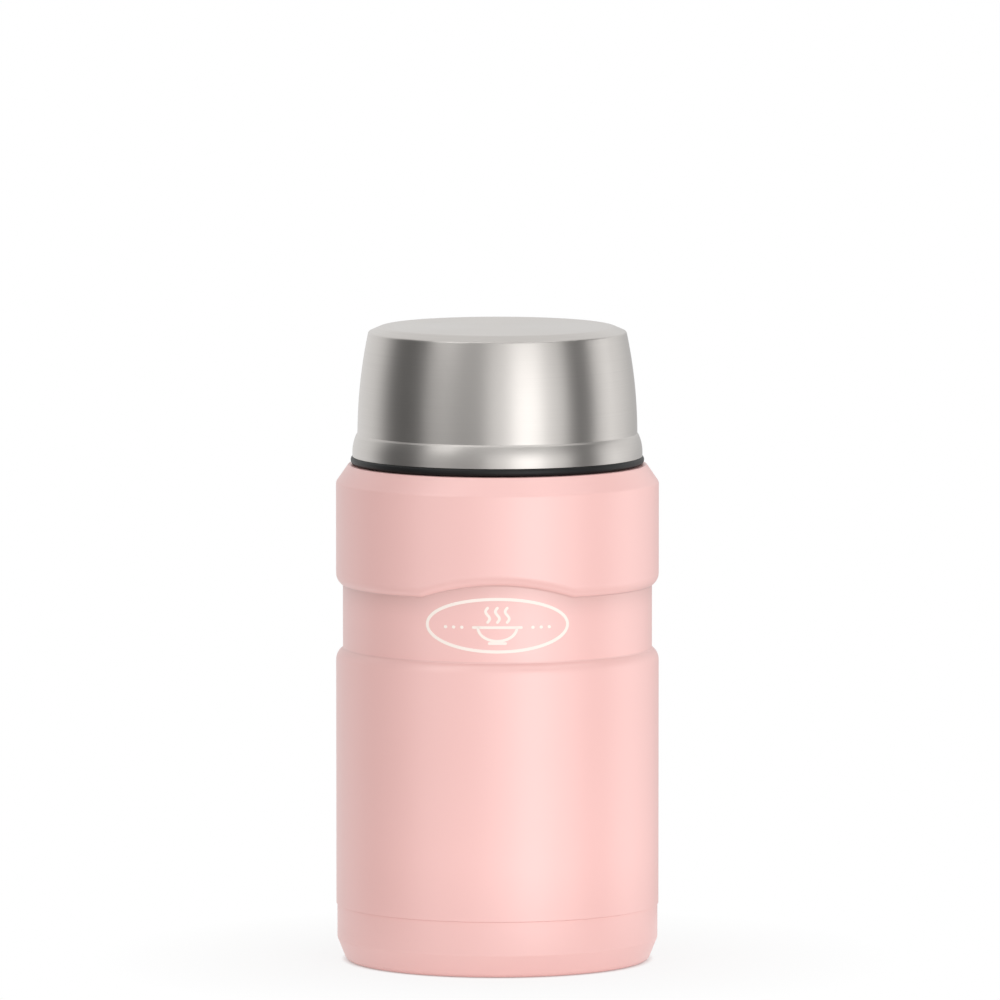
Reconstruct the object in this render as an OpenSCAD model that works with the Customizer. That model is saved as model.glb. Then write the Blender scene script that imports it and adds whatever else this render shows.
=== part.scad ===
// Insulated food jar: double-wall vacuum jar, screw-in stopper, screw-on bowl lid.
// Millimetres, +Z up, origin at the centre of the resting face, front towards -Y.

/* [Jar body] */
// Diameter of the painted body
body_d = 100; // [86:0.5:115]
// Height of the seam between the base cover and the shell
seam_z = 17.6; // [15:0.2:20]
// Height at which the waist band starts
band_z = 93.5; // [75:0.5:120]
// Height of the waist band, from edge to edge
band_h = 27; // [20:0.5:35]
// Depth of the waist band below the body
band_depth = 2.1; // [1:0.1:3]
// Radius of the band's soft edges
band_edge_r = 4.25; // [3.5:0.25:6]
// Height of the body above the band
upper_h = 28.2; // [22:0.2:36]
// Height of the shoulder's cone
shoulder_h = 5.5; // [4:0.1:7]
// Thickness of the outer steel wall
outer_wall = 0.5; // [0.4:0.05:0.7]

/* [Emblem arch] */
// How far the band's upper edge rises at the front
arch_rise = 4.2; // [0:0.2:7]
// Half of the angle that the arch spans
arch_half_angle = 27.5; // [20:0.5:35]

/* [Base] */
// Step from the shell in to the base cover
base_step = 0.31; // [0.1:0.05:0.6]
// Height of the base cover's bevel
bevel_h = 6.95; // [5.5:0.25:8]
// Width of the base cover's bevel, seen from below
bevel_w = 2.4; // [1.5:0.1:4]
// Width of the flat foot ring
foot_w = 4; // [2:0.5:8]
// Thickness of the base cover
base_wall = 0.6; // [0.5:0.05:0.8]
// Height of the underside's raised panel
panel_rise = 2; // [1:0.25:2.5]

/* [Food vessel] */
// Vacuum gap between the vessel and the waist band
vacuum_gap = 4.7; // [2:0.1:7]
// Vacuum gap between the two bottoms
bottom_gap = 3.25; // [2.5:0.25:8]
// Radius between the floor and the wall
floor_edge_r = 9; // [6:0.5:14]
// Thickness of the inner steel wall
inner_wall = 0.4; // [0.3:0.05:0.5]

/* [Neck] */
// Height of the neck above the shoulder
neck_h = 9.8; // [9:0.1:12]
// Vacuum gap between the neck's two walls
neck_gap = 1.4; // [1:0.1:2.5]
// Depth of the gasket's seat below the rim
seat_depth = 21.5; // [19:0.5:26]
// Height of the seat's straight wall
seat_h = 6; // [5:0.25:7]

/* [Threads] */
// Rise of both threads in one turn
thread_lead = 16; // [12:0.5:18]
// Starts of both threads
thread_starts = 4; // [3:1:4]
// Angle that one neck ridge spans
neck_ridge_angle = 86; // [60:2:88]
// Angle that one ridge of a screwed-on piece spans
lid_ridge_angle = 72; // [50:2:80]
// Height of the ridges outside the neck
outer_ridge_h = 1; // [0.8:0.05:1.2]
// Height of the ridges inside the neck
inner_ridge_h = 0.8; // [0.6:0.05:0.9]
// Width of a ridge at its crest
ridge_crest_w = 0.7; // [0.5:0.05:0.9]

/* [Stopper] */
// Depth of the stopper's lower face below the rim
plug_depth = 25; // [22.5:0.5:32]
// Thickness of the stopper's moulded walls
plug_wall = 1.6; // [1.2:0.1:2]
// Thickness of the stopper's flange
flange_t = 1.5; // [1:0.1:1.8]
// Thickness of the cover above the flange
cover_t = 2; // [1.5:0.1:2.2]
// Radius of the grip
grip_r = 20; // [17:0.5:24]
// Height of the grip above the cover
grip_h = 13; // [8:0.5:16]
// Finger flutes around the grip
grip_flutes = 8; // [6:1:12]

/* [Bowl lid] */
// Height of the steel bowl
bowl_h = 40.1; // [35:0.1:60]
// How far the bowl's rim stands in from the body
bowl_setback = 5.17; // [4:0.01:7]
// Height of the bulge from the rim up to the crease
crease_h = 7.1; // [6:0.1:8]
// Radius of the bulge between the rim and the crease
bowl_rim_bend_r = 12; // [10:0.25:16]
// Radius of the slow curve up the bowl's side
bowl_side_r = 150; // [130:5:300]
// Width of the slope between the bowl's side and its flat top
bowl_slope_w = 3.4; // [1:0.1:6]
// Thickness of the bowl's outer steel
bowl_wall = 0.5; // [0.4:0.05:0.6]
// Thickness of the bowl's liner
liner_wall = 0.4; // [0.3:0.05:0.5]
// How much the liner narrows from its mouth to its ceiling
liner_taper = 1.4; // [1:0.1:4]
// Space between the liner's ceiling and the bowl's top
top_gap = 2.5; // [1.5:0.1:4]

/* [Thread ring] */
// Height of the black ring that shows below the bowl
ring_show_h = 2.4; // [2:0.1:4]
// How far the ring stands out past the bowl's rim
ring_lip = 0.57; // [0.2:0.01:0.8]
// Thickness of the ring's sleeve at the crease
ring_wall = 1.26; // [1:0.02:2]
// Depth of the ring's ledge above the bore
ledge_h = 2.3; // [1.8:0.1:2.6]

/* [Hidden] */
$fn = 96;

// Named clearances
fit = 0.1;              // between pieces fixed to each other
run = 0.3;              // between pieces that turn past each other
lap = 1;                // how far a cutter runs past what it cuts

// Jar body
body_r = body_d / 2;
band_r = body_r - band_depth;
band_top_z = band_z + band_h;
edge_angle = acos(1 - band_depth / band_edge_r);
edge_rise = band_edge_r * sin(edge_angle);
shoulder_z = band_top_z + upper_h;
land_z = shoulder_z + shoulder_h;
shoulder_edge_r = 1.5;
base_r = body_r - base_step;
spigot_r = base_r - base_wall - fit;
spigot_z = bevel_h + 1.55;
neck_fillet_r = 0.8;

// Bowl and ring outside the neck, from the body in
land_w = 0.8;           // flat of the shoulder that shows past the ring
bowl_rim_r = body_r - bowl_setback;
ring_r = bowl_rim_r + ring_lip;
shoulder_r = ring_r + land_w;
shoulder_turn = atan((body_r - shoulder_r) / shoulder_h);
ring_bottom_z = land_z + run;
bowl_rim_z = ring_bottom_z + ring_show_h;
bowl_rim_h = 1;
flare_z = bowl_rim_z + bowl_rim_h;
crease_z = bowl_rim_z + crease_h;
total_h = bowl_rim_z + bowl_h;
flare_angle = asin((crease_z - flare_z) / bowl_rim_bend_r);
bowl_crease_r = bowl_rim_r - bowl_rim_bend_r * (1 - cos(flare_angle));
sleeve_inset = bowl_wall + fit;
ring_bore_r = bowl_crease_r - sleeve_inset - ring_wall;

// Emblem arch: a parabola with soft feet
arch_foot_z = band_top_z - edge_rise / 2;
arch_steps = 24;
arch_half_w = band_r * sin(arch_half_angle);
arch_foot_share = 0.12;

// Base cover and outer bottom
foot_edge_w = 1.6;
foot_r = base_r - bevel_w - foot_edge_w;
foot_edge_h = 1;
foot_steps = 5;
panel_r = foot_r - foot_w;
panel_slope_w = 2.2;
bottom_r = spigot_r - outer_wall - fit;
bottom_z = bevel_h - 0.1;
bottom_wall = 0.5;
bottom_skirt_h = 4.5;
bottom_edge_r = 1.5;
dimple_r = 8;
dimple_depth = 1.4;
dimple_slope_w = 2;
seal_hole_r = 1;
seal_cap_r = 3;
seal_cap_h = 0.8;

// Getter in its clip, on the outer bottom's upper face
getter_x = 24;
getter_r = 4;
getter_h = 1.4;
clip_t = 0.3;
clip_w = 5;
clip_foot = 4;
getter_z = bottom_z + bottom_wall;

// Food vessel
food_r = band_r - outer_wall - vacuum_gap - inner_wall;
floor_z = bottom_z + bottom_wall + bottom_gap + inner_wall;
vessel_wall_z = floor_z + floor_edge_r + 4;
rim_z = land_z + neck_h;
ridge_play = 0.4;       // between the crest of a ridge and the wall it turns past
neck_r = ring_bore_r - outer_ridge_h - ridge_play;
mouth_r = neck_r - outer_wall - neck_gap - inner_wall;
seat_z = rim_z - seat_depth;
seat_r = mouth_r - inner_ridge_h;
seat_step_h = 1;
flare_h = 8.5;
foil_t = 0.15;
foil_margin = 5;
lip_t = 0.4;

// Threads
pitch = thread_lead / thread_starts;
ridge_flank_w = 0.55;
ridge_sink = 0.2;
neck_ridge_z = rim_z - 5.9;
lid_ridge_z = neck_ridge_z - pitch / 2;
plug_ridge_h = inner_ridge_h + ridge_play - run;
ring_ridge_h = outer_ridge_h + ridge_play - run - 0.05;
ridge_steps = 14;
ridge_runout = 12;       // angle over which a ridge rises to its full height
ridge_end = 0.2;        // share of its height that a ridge has at its ends

// Stopper
plug_r = mouth_r - inner_ridge_h - ridge_play;
plug_z = rim_z - plug_depth;
flange_r = neck_r - fit;
flange_z = rim_z + run;
cover_z = flange_z + flange_t;
cover_top_z = cover_z + cover_t;
groove_z = seat_z + 1;
groove_h = 3.5;
groove_depth = 1.7;
gasket_r = seat_r - run;
gasket_lip = 0.6;
plug_inner_r = plug_r - groove_depth - plug_wall;
foam_r = plug_inner_r - fit;
rim_chamfer = 0.5;
skirt_h = 3;
skirt_t = 1.4;
grip_edge_r = 3;
grip_cove_r = 2;
flute_r = 6;
flute_out = 3.4;

// Bowl lid
gasket_t = 1;
bowl_corner_z = total_h - 1.9;
corner_round = 0.5;
ledge_lip = 1.2;        // how far the ledge reaches in past the stopper's flange
liner_mouth_r = flange_r - ledge_lip;
liner_top_r = liner_mouth_r - liner_taper;
ledge_z = cover_top_z + run + gasket_t + fit;
ring_top_z = ledge_z + ledge_h;
ring_edge = 0.4;
liner_flange_r = bowl_crease_r - sleeve_inset - 0.5;
liner_ceiling_z = total_h - bowl_wall - top_gap;
liner_edge_r = 5;
gap_seal_h = 1.5;
bowl_gasket_w = 2.2;

pink = [0.98, 0.80, 0.78];
steel = [0.78, 0.77, 0.76];
black_plastic = [0.09, 0.09, 0.09];

// ---- Outlines -------------------------------------------------------------

// Points of an arc about [cx, cz], from angle a0 to a1
function arc(cx, cz, r, a0, a1, steps = 8) =
    [for (i = [0 : steps]) let (a = a0 + (a1 - a0) * i / steps) [cx + r * cos(a), cz + r * sin(a)]];

// An S-shaped bend from radius r0 at height z0 to radius r1 at height z1
function s_bend(r0, z0, r1, z1, steps = 10) =
    [for (i = [0 : steps]) let (t = i / steps, s = (1 - cos(180 * t)) / 2)
        [r0 + (r1 - r0) * s, z0 + (z1 - z0) * t]];

// Radius of the bowl's side at height z, moved in by t
function side_r(z, t) =
    bowl_crease_r - bowl_side_r + sqrt(pow(bowl_side_r - t, 2) - pow(z - crease_z, 2));

// The bowl's side between two heights, moved in by t
function bowl_side(t, z0, z1, steps = 12) =
    [for (i = [0 : steps]) let (z = z0 + (z1 - z0) * i / steps) [side_r(z, t), z]];

// The bulge from the steel rim up to the crease, moved in by t
function bowl_flare(t) =
    arc(bowl_rim_r - bowl_rim_bend_r, flare_z, bowl_rim_bend_r - t, 0, flare_angle);

// The same points in the other order
function backwards(points) = [for (i = [len(points) - 1 : -1 : 0]) points[i]];

module turned(points) {
    rotate_extrude() polygon(points);
}

// ---- Threads --------------------------------------------------------------

// One helical ridge on a wall of radius wall_r. side is 1 outside a wall and -1 inside it.
module ridge(wall_r, height, start_z, start_angle, span, side) {
    foot_w = ridge_crest_w / 2 + ridge_flank_w;
    rings = [for (i = [0 : ridge_steps]) let (
        a = span * i / ridge_steps,
        out = height * min(1, ridge_end + (1 - ridge_end) * min(a, span - a) / ridge_runout),
        z = start_z + thread_lead * a / 360,
        crest_w = ridge_crest_w / 2)
        [for (p = [[-ridge_sink, -foot_w], [out, -crest_w], [out, crest_w], [-ridge_sink, foot_w]])
            [(wall_r + side * p[0]) * cos(start_angle + a),
             (wall_r + side * p[0]) * sin(start_angle + a), z + p[1]]]];
    points = [for (ring = rings) each ring];
    sides = [for (i = [0 : ridge_steps - 1], k = [0 : 3]) let (
        a = 4 * i + k,
        b = 4 * i + (k + 1) % 4)
        side > 0 ? [a, b, b + 4, a + 4] : [a, a + 4, b + 4, b]];
    last = 4 * ridge_steps;
    ends = side > 0
        ? [[3, 2, 1, 0], [last, last + 1, last + 2, last + 3]]
        : [[0, 1, 2, 3], [last + 3, last + 2, last + 1, last]];
    polyhedron(points, concat(sides, ends));
}

module ridges(wall_r, height, start_z, span, side) {
    for (i = [0 : thread_starts - 1])
        ridge(wall_r, height, start_z, 360 * i / thread_starts, span, side);
}

// ---- Jar body -------------------------------------------------------------

// Solid form of the shell below its land, moved in by t
module shell_form(t) {
    low = t > 0 ? spigot_z - lap : spigot_z;
    difference() {
        turned(concat(
            [[0, low], [spigot_r - t, low], [spigot_r - t, seam_z + t], [body_r - t, seam_z + t]],
            arc(body_r - band_edge_r - t, band_z, band_edge_r, 0, edge_angle, 6),
            arc(body_r - band_edge_r - t, band_top_z, band_edge_r, -edge_angle, 0, 6),
            arc(body_r - shoulder_edge_r - t, shoulder_z, shoulder_edge_r, 0, shoulder_turn, 4),
            [[shoulder_r - t * tan(shoulder_turn), land_z - t], [0, land_z - t]]
        ));
        arch_pocket(t);
    }
}

// Height of the arch's edge above its foot at a share of its half width
function arch_edge(s) =
    let (a = abs(s))
    a > 1 - arch_foot_share
        ? arch_rise * arch_foot_share * pow((1 - a) / arch_foot_share, 2)
        : arch_rise * (1 - (1 - arch_foot_share) * pow(a / (1 - arch_foot_share), 2));

// Space under the emblem arch, as deep as the band
module arch_pocket(t) {
    outline = concat(
        [[-arch_half_w - t, band_z + edge_rise + lap]],
        [for (i = [0 : arch_steps]) let (s = -1 + 2 * i / arch_steps)
            [s * (arch_half_w + t), arch_foot_z + arch_edge(s) + t]],
        [[arch_half_w + t, band_z + edge_rise + lap]]
    );
    difference() {
        intersection() {
            rotate([90, 0, 0]) linear_extrude(body_d) polygon(outline);
            cylinder(r = body_r + lap, h = band_top_z + arch_rise + lap);
        }
        translate([0, 0, -lap]) cylinder(r = band_r - t, h = land_z);
    }
}

module outer_shell() color(pink) {
    difference() {
        shell_form(0);
        shell_form(outer_wall);
        translate([0, 0, land_z - outer_wall - lap]) cylinder(r = neck_r, h = outer_wall + 2 * lap);
    }
    turned([
        [neck_r - outer_wall, land_z - outer_wall], [neck_r + neck_fillet_r, land_z - outer_wall],
        [neck_r + neck_fillet_r, land_z], [neck_r, land_z + neck_fillet_r],
        [neck_r, rim_z - lip_t], [neck_r - outer_wall, rim_z - lip_t]
    ]);
    ridges(neck_r, outer_ridge_h, neck_ridge_z, neck_ridge_angle, 1);
}

module base_cup() color(pink)
    turned(concat(
        [[base_r - base_wall, seam_z - fit], [base_r, seam_z - fit], [base_r, bevel_h]],
        [for (i = [0 : foot_steps]) let (a = 90 * i / foot_steps)
            [foot_r + foot_edge_w * cos(a), foot_edge_h * (1 - sin(a))]],
        [[panel_r, 0], [panel_r - panel_slope_w, panel_rise], [0, panel_rise],
         [0, panel_rise + base_wall], [panel_r - panel_slope_w, panel_rise + base_wall],
         [panel_r, base_wall], [foot_r - base_wall / 2, base_wall],
         [foot_r + foot_edge_w - base_wall, foot_edge_h + base_wall / 2],
         [base_r - base_wall, bevel_h + base_wall / 2]]
    ));

module outer_bottom() color(steel)
    turned(concat(
        [[seal_hole_r, bottom_z - dimple_depth], [dimple_r, bottom_z - dimple_depth],
         [dimple_r + dimple_slope_w, bottom_z]],
        arc(bottom_r - bottom_edge_r, bottom_z + bottom_edge_r, bottom_edge_r, -90, 0, 5),
        [[bottom_r, bottom_z + bottom_skirt_h], [bottom_r - bottom_wall, bottom_z + bottom_skirt_h]],
        arc(bottom_r - bottom_edge_r, bottom_z + bottom_edge_r, bottom_edge_r - bottom_wall, 0, -90, 5),
        [[dimple_r + dimple_slope_w, bottom_z + bottom_wall],
         [dimple_r, bottom_z - dimple_depth + bottom_wall],
         [seal_hole_r, bottom_z - dimple_depth + bottom_wall]]
    ));

module vacuum_seal() color("darkgoldenrod") {
    top = bottom_z - dimple_depth;
    turned([[0, top - seal_cap_h], [seal_cap_r * 0.6, top - seal_cap_h], [seal_cap_r, top],
            [seal_hole_r - fit, top], [seal_hole_r - fit, top + bottom_wall], [0, top + bottom_wall]]);
}

module getter_pellet() color("dimgray")
    translate([getter_x, 0, getter_z]) cylinder(r = getter_r, h = getter_h);

module getter_clip() color("silver")
    translate([getter_x, -clip_w / 2, getter_z]) {
        half = getter_r + fit + clip_t;
        for (side = [-1, 1]) {
            translate([side > 0 ? half - clip_t : -half, 0, 0]) cube([clip_t, clip_w, getter_h + clip_t]);
            translate([side > 0 ? half - clip_t : -half - clip_foot + clip_t, 0, 0])
                cube([clip_foot, clip_w, clip_t]);
        }
        translate([-half, 0, getter_h]) cube([2 * half, clip_w, clip_t]);
    }

module inner_vessel() color(steel) {
    w = inner_wall;
    turned(concat(
        [[food_r, vessel_wall_z]],
        s_bend(food_r, seat_z - flare_h, seat_r, seat_z),
        [[seat_r, seat_z + seat_h], [mouth_r, seat_z + seat_h + seat_step_h], [mouth_r, rim_z],
         [neck_r, rim_z], [neck_r, rim_z - lip_t], [mouth_r + w, rim_z - lip_t],
         [mouth_r + w, seat_z + seat_h + seat_step_h - w], [seat_r + w, seat_z + seat_h - w]],
        s_bend(seat_r + w, seat_z, food_r + w, seat_z - flare_h),
        [[food_r + w, vessel_wall_z]]
    ));
    ridges(mouth_r, inner_ridge_h, neck_ridge_z, neck_ridge_angle, -1);
}

module inner_bottom() color(steel)
    turned(concat(
        [[0, floor_z]],
        arc(food_r - floor_edge_r, floor_z + floor_edge_r, floor_edge_r, -90, 0, 10),
        [[food_r, vessel_wall_z], [food_r + inner_wall, vessel_wall_z]],
        arc(food_r - floor_edge_r, floor_z + floor_edge_r, floor_edge_r + inner_wall, 0, -90, 10),
        [[0, floor_z - inner_wall]]
    ));

module reflective_foil() color("peru") {
    r = food_r + inner_wall + fit;
    low = vessel_wall_z - foil_margin / 2;
    high = seat_z - flare_h - foil_margin;
    turned([[r, low], [r + foil_t, low], [r + foil_t, high], [r, high]]);
}

// ---- Stopper --------------------------------------------------------------

module stopper_plug() color(black_plastic) {
    turned([
        [0, plug_z], [plug_r - plug_wall, plug_z], [plug_r, plug_z + plug_wall],
        [plug_r, groove_z], [plug_r - groove_depth, groove_z], [plug_r - groove_depth, groove_z + groove_h],
        [plug_r, groove_z + groove_h], [plug_r, flange_z], [flange_r, flange_z], [flange_r, cover_z],
        [plug_inner_r, cover_z], [plug_inner_r, plug_z + plug_wall], [0, plug_z + plug_wall]
    ]);
    ridges(plug_r, plug_ridge_h, lid_ridge_z, lid_ridge_angle, 1);
}

module stopper_cover() color(black_plastic) {
    skirt_r = plug_inner_r - fit;
    turned([
        [0, cover_z], [skirt_r - skirt_t, cover_z], [skirt_r - skirt_t, cover_z - skirt_h],
        [skirt_r, cover_z - skirt_h], [skirt_r, cover_z], [flange_r, cover_z],
        [flange_r, cover_top_z - rim_chamfer], [flange_r - rim_chamfer, cover_top_z], [0, cover_top_z]
    ]);
    difference() {
        turned(concat(
            [[0, cover_top_z - cover_t / 2], [grip_r + grip_cove_r, cover_top_z - cover_t / 2]],
            arc(grip_r + grip_cove_r, cover_top_z + grip_cove_r, grip_cove_r, -90, -180, 5),
            arc(grip_r - grip_edge_r, cover_top_z + grip_h - grip_edge_r, grip_edge_r, 0, 90, 6),
            [[0, cover_top_z + grip_h]]
        ));
        for (i = [0 : grip_flutes - 1])
            rotate([0, 0, 360 * (i + 0.5) / grip_flutes])
                translate([grip_r + flute_out, 0, cover_top_z + grip_cove_r])
                    cylinder(r = flute_r, h = grip_h);
    }
}

module stopper_foam() color("ivory") {
    low = plug_z + plug_wall;
    translate([0, 0, low]) cylinder(r = foam_r, h = cover_z - skirt_h - fit - low);
}

module stopper_gasket() color("whitesmoke") {
    r0 = plug_r - groove_depth + run;
    z0 = groove_z + fit;
    z1 = groove_z + groove_h - fit;
    mid = (z0 + z1) / 2;
    turned([
        [r0, z0], [gasket_r - gasket_lip / 2, z0],
        [gasket_r, z0 + gasket_lip / 2], [gasket_r, z0 + gasket_lip],
        [gasket_r - gasket_lip, mid], [gasket_r, z1 - gasket_lip], [gasket_r, z1 - gasket_lip / 2],
        [gasket_r - gasket_lip / 2, z1], [r0, z1]
    ]);
}

// ---- Bowl lid -------------------------------------------------------------

module bowl_outer_shell() color(steel) {
    w = bowl_wall;
    corner_r = side_r(bowl_corner_z, 0) - corner_round;
    plateau_r = corner_r - bowl_slope_w;
    corner_z = bowl_corner_z + corner_round;
    turned(concat(
        [[bowl_rim_r - w, bowl_rim_z], [bowl_rim_r, bowl_rim_z]],
        bowl_flare(0),
        bowl_side(0, crease_z, bowl_corner_z),
        [[corner_r, corner_z], [plateau_r, total_h], [0, total_h], [0, total_h - w], [plateau_r, total_h - w],
         [corner_r - w / 2, corner_z - w]],
        bowl_side(w, bowl_corner_z - w, crease_z),
        backwards(bowl_flare(w))
    ));
}

module bowl_liner() color(steel) {
    w = liner_wall;
    corner_z = liner_ceiling_z - w - liner_edge_r;
    corner_r = liner_top_r - liner_edge_r;
    turned(concat(
        [[liner_mouth_r, ring_top_z], [liner_flange_r, ring_top_z], [liner_flange_r, ring_top_z + w],
         [liner_mouth_r + w, ring_top_z + w]],
        arc(corner_r, corner_z, liner_edge_r + w, 0, 90, 8),
        [[0, liner_ceiling_z], [0, liner_ceiling_z - w]],
        arc(corner_r, corner_z, liner_edge_r, 90, 0, 8)
    ));
}

module bowl_thread_ring() color(black_plastic) {
    turned(concat(
        [[ring_bore_r, ring_bottom_z], [ring_r - ring_edge, ring_bottom_z],
         [ring_r, ring_bottom_z + ring_edge], [ring_r, bowl_rim_z - ring_edge],
         [ring_r - ring_edge / 2, bowl_rim_z],
         [bowl_rim_r - sleeve_inset, bowl_rim_z]],
        bowl_flare(sleeve_inset),
        bowl_side(sleeve_inset, crease_z, ring_top_z, 3),
        [[liner_mouth_r, ring_top_z], [liner_mouth_r, ledge_z], [ring_bore_r, ledge_z]]
    ));
    ridges(ring_bore_r, ring_ridge_h, lid_ridge_z, lid_ridge_angle, -1);
}

module bowl_gap_seal() color("whitesmoke") {
    low = ring_top_z + liner_wall;
    r0 = liner_mouth_r + liner_wall + fit;
    r1 = liner_flange_r;
    turned([[r0, low], [r1, low], [r1, low + gap_seal_h], [r0, low + gap_seal_h]]);
}

module bowl_gasket() color("whitesmoke") {
    r1 = ring_bore_r - run;
    r0 = r1 - bowl_gasket_w;
    high = ledge_z - fit;
    low = high - gasket_t;
    turned([[r0, low], [r1, low], [r1, high], [r0, high]]);
}

outer_shell();
base_cup();
outer_bottom();
vacuum_seal();
getter_pellet();
getter_clip();
inner_vessel();
inner_bottom();
reflective_foil();
stopper_plug();
stopper_cover();
stopper_foam();
stopper_gasket();
bowl_outer_shell();
bowl_liner();
bowl_thread_ring();
bowl_gap_seal();
bowl_gasket();
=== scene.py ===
import math

import bmesh
import bpy
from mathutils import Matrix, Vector


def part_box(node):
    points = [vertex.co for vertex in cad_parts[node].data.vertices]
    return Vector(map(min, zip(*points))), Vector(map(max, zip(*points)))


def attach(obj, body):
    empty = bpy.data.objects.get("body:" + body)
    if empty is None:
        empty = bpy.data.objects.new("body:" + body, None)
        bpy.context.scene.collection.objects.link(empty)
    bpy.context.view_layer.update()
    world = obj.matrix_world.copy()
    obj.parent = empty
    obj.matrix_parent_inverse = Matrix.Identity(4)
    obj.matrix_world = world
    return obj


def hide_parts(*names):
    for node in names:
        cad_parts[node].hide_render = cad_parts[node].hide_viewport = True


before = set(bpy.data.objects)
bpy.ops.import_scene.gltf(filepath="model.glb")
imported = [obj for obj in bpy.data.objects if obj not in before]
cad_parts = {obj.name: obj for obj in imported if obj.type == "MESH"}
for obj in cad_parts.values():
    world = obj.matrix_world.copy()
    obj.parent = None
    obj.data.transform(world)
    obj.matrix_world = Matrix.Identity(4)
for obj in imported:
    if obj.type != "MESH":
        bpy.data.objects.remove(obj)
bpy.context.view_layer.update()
mm = 0.001
print("frame loaded:", len(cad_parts), "nodes")

cameraView = {
    "lens": 470.5,
    "sensorWidth": 36,
    "place": (0.0008, -4.0292, 0.5329),  # a long way back, so the sides stay upright
    "pitchDown": 5.528,
    "farClip": 50,
}


def makeCamera(view):
    data = bpy.data.cameras.new("studioCamera")
    data.lens = view["lens"]
    data.sensor_width = view["sensorWidth"]
    data.clip_end = view["farClip"]
    camera = bpy.data.objects.new("studioCamera", data)
    camera.location = view["place"]
    camera.rotation_euler = (math.radians(90 - view["pitchDown"]), 0, 0)
    bpy.context.collection.objects.link(camera)
    bpy.context.scene.camera = camera


makeCamera(cameraView)
print("camera placed")


# Outlines are lists of (radius, height) in millimetres.
cornerStep = 10    # degrees from one point to the next round a corner
sharpEdge = 38     # edges that bend by more degrees stay crisp


def nodeSize(node):
    low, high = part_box(node)
    return {
        "radius": high.x / mm,
        "bottom": low.z / mm,
        "top": high.z / mm,
    }


def arc(centreR, centreZ, radius, fromAngle, toAngle, steps=10):
    points = []
    for i in range(steps + 1):
        angle = math.radians(fromAngle + (toAngle - fromAngle) * i / steps)
        points.append((centreR + radius * math.cos(angle), centreZ + radius * math.sin(angle)))
    return points


def sBend(fromR, fromZ, toR, toZ, steps=16):
    points = []
    for i in range(steps + 1):
        share = i / steps
        ease = (1 - math.cos(math.pi * share)) / 2
        points.append((fromR + (toR - fromR) * ease, fromZ + (toZ - fromZ) * share))
    return points


# Rounds each corner given as (radius, height, roundness); a plain pair stays sharp.
def rounded(corners):
    points = []
    count = len(corners)
    for i, corner in enumerate(corners):
        here = Vector(corner[:2])
        roundness = corner[2] if len(corner) > 2 else 0
        if roundness <= 0:
            points.append(tuple(here))
            continue
        back = (Vector(corners[i - 1][:2]) - here).normalized()
        ahead = (Vector(corners[(i + 1) % count][:2]) - here).normalized()
        half = back.angle(ahead) / 2
        reach = roundness / math.tan(half)
        centre = here + (back + ahead).normalized() * (roundness / math.sin(half))
        start, end = here + back * reach, here + ahead * reach
        turn = math.pi - 2 * half
        steps = max(3, math.ceil(math.degrees(turn) / cornerStep))
        sweep = (start - centre).angle_signed(end - centre)
        for k in range(steps + 1):
            spoke = start - centre
            angle = -sweep * k / steps
            spoke = Vector((
                spoke.x * math.cos(angle) - spoke.y * math.sin(angle),
                spoke.x * math.sin(angle) + spoke.y * math.cos(angle),
            ))
            points.append(tuple(centre + spoke))
    return points


def newPiece(name, mesh):
    piece = bpy.data.objects.new(name, mesh)
    bpy.context.collection.objects.link(piece)
    return piece


def finishMesh(name, verts, faces, sharpAngle=sharpEdge):
    mesh = bpy.data.meshes.new(name)
    mesh.from_pydata(verts, [], faces)
    bm = bmesh.new()
    bm.from_mesh(mesh)
    bmesh.ops.recalc_face_normals(bm, faces=bm.faces)
    bm.to_mesh(mesh)
    bm.free()
    mesh.shade_smooth()
    mesh.set_sharp_from_angle(angle=math.radians(sharpAngle))
    piece = newPiece(name, mesh)
    weighted = piece.modifiers.new("evenShading", "WEIGHTED_NORMAL")
    weighted.keep_sharp = True
    weighted.weight = 100
    return piece


def wallPoint(radius, angle, height):
    return radius * math.cos(angle) * mm, radius * math.sin(angle) * mm, height * mm


# Turns a closed outline round the Z axis. reshape(radius, height, angle) may move each point.
def turned(name, outline, segments=240, reshape=None):
    verts = []
    rows = []
    for radius, height in outline:
        row = []
        onAxis = radius < 1e-6
        for j in range(1 if onAxis else segments):
            angle = 2 * math.pi * j / segments
            r, z = (radius, height) if reshape is None else reshape(radius, height, angle)
            verts.append(wallPoint(r, angle, z))
            row.append(len(verts) - 1)
        rows.append(row)
    faces = []
    for i, row in enumerate(rows):
        nextRow = rows[(i + 1) % len(rows)]
        if len(row) == 1 and len(nextRow) == 1:
            continue
        for j in range(segments):
            k = (j + 1) % segments
            corners = [row[j % len(row)], row[k % len(row)]]
            corners += [nextRow[k % len(nextRow)], nextRow[j % len(nextRow)]]
            faces.append(list(dict.fromkeys(corners)))
    return finishMesh(name, verts, faces)


# the four-start thread of the neck, the ring and the stopper
thread = {
    "starts": 4,
    "lead": 16,                # rise in one turn
    "halfWidth": 1.1,
    "sink": 0.15,              # how deep the ridges reach into their wall
    "backing": 1.3,            # their back lies this many times as deep
    "runout": 14,              # degrees over which a ridge fades in and out
    "endShare": 0.1,           # how far up a ridge's fade begins
    "crown": 2.6,              # a larger power gives a flatter crown
    "root": 6,                 # and a tighter root
    "steps": 56,               # points along a ridge
    "across": 9,               # and over it
    "sharpAngle": 50,
}
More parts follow.
